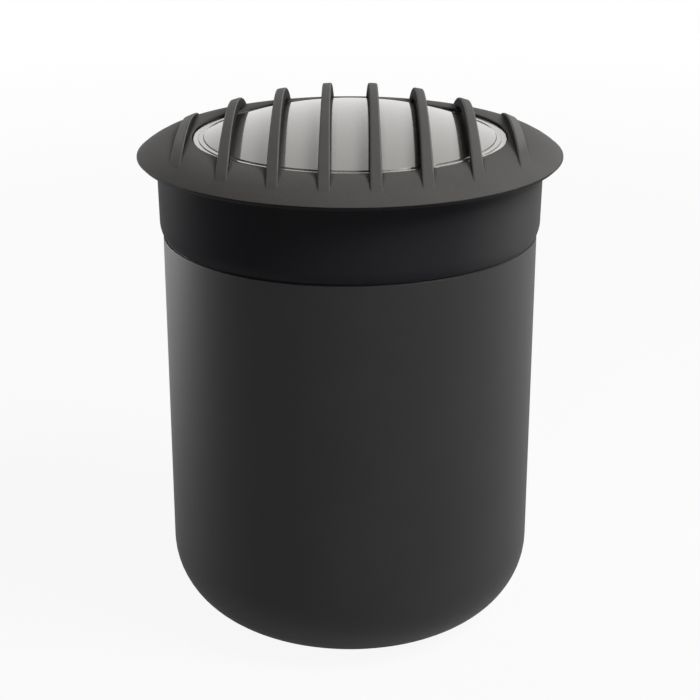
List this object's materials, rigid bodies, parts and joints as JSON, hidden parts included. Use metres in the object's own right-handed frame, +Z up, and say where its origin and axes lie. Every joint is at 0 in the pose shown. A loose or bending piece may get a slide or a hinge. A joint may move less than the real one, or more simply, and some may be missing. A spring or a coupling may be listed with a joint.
{
  "type": "in-ground well light",
  "caption": "Round in-ground well light: closed sleeve with rounded foot, collar, domed frosted lens under a twist-on cap with arched rock-guard ribs, aimable lamp inside.",
  "frame": {"origin": "middle of the underside of the foot, on the light's axis", "axes": "+Z up along the light's axis out through the lens; the guard's ribs run along Y; -Y is the front; the cable channel leaves towards +Y"},
  "size_m": [0.178, 0.178, 0.2318],
  "materials": {
    "sleeve_plastic": "smooth dark grey moulding, satin",
    "collar_plastic": "near-black moulding, semi-gloss",
    "guard_coat": "fine-textured charcoal coating on a casting",
    "lens_glass": "frosted tempered glass",
    "seal_rubber": "black moulded silicone",
    "slip_nylon": "natural nylon",
    "sheet_steel": "zinc-plated sheet steel",
    "plate_aluminium": "mill finish sheet",
    "ring_aluminium": "die-cast, as cast",
    "screw_steel": "stainless steel",
    "lamp_glass": "clear pressed glass with flutes",
    "lamp_mirror": "aluminised glass",
    "capsule_glass": "clear halogen capsule",
    "contact_brass": "turned brass",
    "block_plastic": "moulded terminal block",
    "gland_nylon": "black nylon",
    "fibre": "red vulcanised fibre"
  },
  "bodies": {
    "housing": {"sleeve": "sleeve_plastic", "collar": "collar_plastic", "collar_seal": "seal_rubber", "rim_seal": "seal_rubber", "lens": "lens_glass", "lens_gasket": "seal_rubber", "gland_body": "gland_nylon", "gland_washer": "seal_rubber", "gland_seal": "seal_rubber", "gland_nut": "gland_nylon", "gland_locknut": "gland_nylon", "terminal_block": "block_plastic", "terminal_clamps": "contact_brass", "clamp_screws": "screw_steel", "block_screws": "screw_steel", "swivel_plate": "plate_aluminium", "plate_screws": "screw_steel", "stop_pin": "screw_steel", "swivel_bolt": "screw_steel", "swivel_washer": "fibre", "wave_washer": "screw_steel", "lock_nut": "screw_steel"},
    "slip_ring": {"slip_ring": "slip_nylon"},
    "cap": {"rock_guard": "guard_coat"},
    "yoke": {"yoke": "sheet_steel"},
    "lamp_head": {"gimbal_ring": "ring_aluminium", "pivot_washers": "fibre", "pivot_screws": "screw_steel", "lamp_clips": "sheet_steel", "clip_screws": "screw_steel", "lamp_reflector": "lamp_mirror", "lamp_face": "lamp_glass", "lamp_capsule": "capsule_glass", "lamp_terminals": "contact_brass"}
  },
  "joints": [
    {"name": "cap_rise", "type": "slide", "parent": "housing", "child": "slip_ring", "axis": [0, 0, 1], "range_m": [0, 0.0401]},
    {"name": "cap_turn", "type": "hinge", "parent": "slip_ring", "child": "cap", "pos_m": [0, 0, 0.2], "axis": [0, 0, 1], "range_deg": [0, 360]},
    {"name": "aim_turn", "type": "hinge", "parent": "housing", "child": "yoke", "pos_m": [0, 0, 0.075], "axis": [0, 0, 1], "range_deg": [-163, 163]},
    {"name": "aim_tilt", "type": "hinge", "parent": "yoke", "child": "lamp_head", "pos_m": [0, 0, 0.159], "axis": [1, 0, 0], "range_deg": [-20, 20]}
  ],
  "couplings": [
    {"joint": "cap_rise", "follows": "cap_turn", "m_per_rad": 0.006366}
  ]
}
